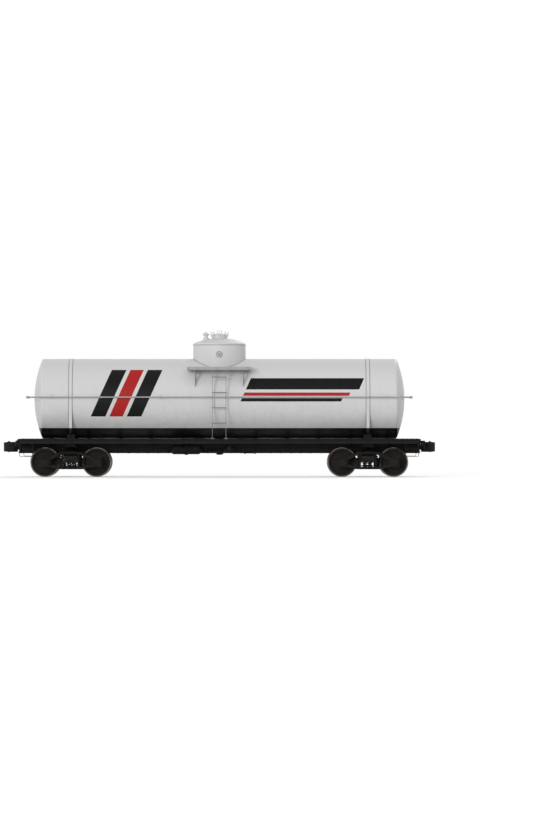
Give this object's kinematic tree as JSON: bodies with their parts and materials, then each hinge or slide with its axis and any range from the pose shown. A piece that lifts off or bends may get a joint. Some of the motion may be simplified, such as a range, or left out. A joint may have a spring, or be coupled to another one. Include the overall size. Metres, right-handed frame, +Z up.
{
  "type": "railway tank car",
  "caption": "Single-dome railway tank car on two swivelling trucks, with hinged manway cover, dome platforms, ladders, handrails and knuckle couplers.",
  "frame": {"origin": "on the floor plane under the middle of the car, at the level of the wheel flanges' lowest points", "axes": "+X along the car to its front end, +Y to its left side, +Z up"},
  "size_m": [13.02, 3, 4.4078],
  "materials": {
    "tank_paint": "satin",
    "rail_paint": "satin",
    "deck_planks": "matte",
    "underframe_paint": "satin",
    "wheel_steel": "matte",
    "axle_steel": "satin",
    "spring_steel": "satin",
    "coupler_steel": "matte"
  },
  "bodies": {
    "car_body": {"air_reservoir": "underframe_paint", "body_bolster_front": "underframe_paint", "body_bolster_rear": "underframe_paint", "bottom_outlet": "underframe_paint", "brake_cylinder": "underframe_paint", "brake_rods": "underframe_paint", "centre_sill": "underframe_paint", "control_valve": "underframe_paint", "coupler_front": "coupler_steel", "coupler_rear": "coupler_steel", "cross_bearers": "underframe_paint", "dome": "tank_paint", "dome_platform_left": "rail_paint", "dome_platform_right": "rail_paint", "draft_gears": "underframe_paint", "end_handholds": "underframe_paint", "end_platforms": "deck_planks", "end_sills": "underframe_paint", "hand_brake": "underframe_paint", "handrail_brackets": "rail_paint", "handrail_ends": "rail_paint", "handrail_sides": "rail_paint", "knuckle_front": "coupler_steel", "knuckle_rear": "coupler_steel", "ladder_rails": "rail_paint", "ladder_rungs": "rail_paint", "manway_ring": "tank_paint", "running_boards": "deck_planks", "safety_valve": "tank_paint", "side_sills": "underframe_paint", "sill_steps": "underframe_paint", "strikers": "underframe_paint", "tank": "tank_paint", "tank_anchors": "underframe_paint", "tank_bands": "tank_paint", "tank_saddles": "underframe_paint", "train_pipe": "underframe_paint", "uncoupling_levers": "underframe_paint"},
    "wheelset_1": {"wheels_1": "wheel_steel", "axle_1": "axle_steel"},
    "wheelset_2": {"wheels_2": "wheel_steel", "axle_2": "axle_steel"},
    "wheelset_3": {"wheels_3": "wheel_steel", "axle_3": "axle_steel"},
    "wheelset_4": {"wheels_4": "wheel_steel", "axle_4": "axle_steel"},
    "front_truck": {"front_truck_bolster": "underframe_paint", "front_truck_brake_beams": "underframe_paint", "front_truck_side_frames": "underframe_paint", "front_truck_springs": "spring_steel"},
    "rear_truck": {"rear_truck_bolster": "underframe_paint", "rear_truck_brake_beams": "underframe_paint", "rear_truck_side_frames": "underframe_paint", "rear_truck_springs": "spring_steel"},
    "manway_lid": {"manway_cover": "tank_paint"}
  },
  "joints": [
    {"name": "front_truck_swivel", "type": "hinge", "parent": "car_body", "child": "front_truck", "pos_m": [4.465, 0, 0.66], "axis": [0, 0, 1], "range_deg": [-8, 8]},
    {"name": "rear_truck_swivel", "type": "hinge", "parent": "car_body", "child": "rear_truck", "pos_m": [-4.465, 0, 0.66], "axis": [0, 0, 1], "range_deg": [-8, 8]},
    {"name": "wheelset_1_roll", "type": "hinge", "parent": "front_truck", "child": "wheelset_1", "pos_m": [5.2425, 0, 0.445], "axis": [0, 1, 0], "continuous": true},
    {"name": "wheelset_2_roll", "type": "hinge", "parent": "front_truck", "child": "wheelset_2", "pos_m": [3.6875, 0, 0.445], "axis": [0, 1, 0], "continuous": true},
    {"name": "wheelset_3_roll", "type": "hinge", "parent": "rear_truck", "child": "wheelset_3", "pos_m": [-3.6875, 0, 0.445], "axis": [0, 1, 0], "continuous": true},
    {"name": "wheelset_4_roll", "type": "hinge", "parent": "rear_truck", "child": "wheelset_4", "pos_m": [-5.2425, 0, 0.445], "axis": [0, 1, 0], "continuous": true},
    {"name": "manway_cover_hinge", "type": "hinge", "parent": "car_body", "child": "manway_lid", "pos_m": [0, 0.285, 4.287], "axis": [-1, 0, 0], "range_deg": [0, 110]}
  ]
}
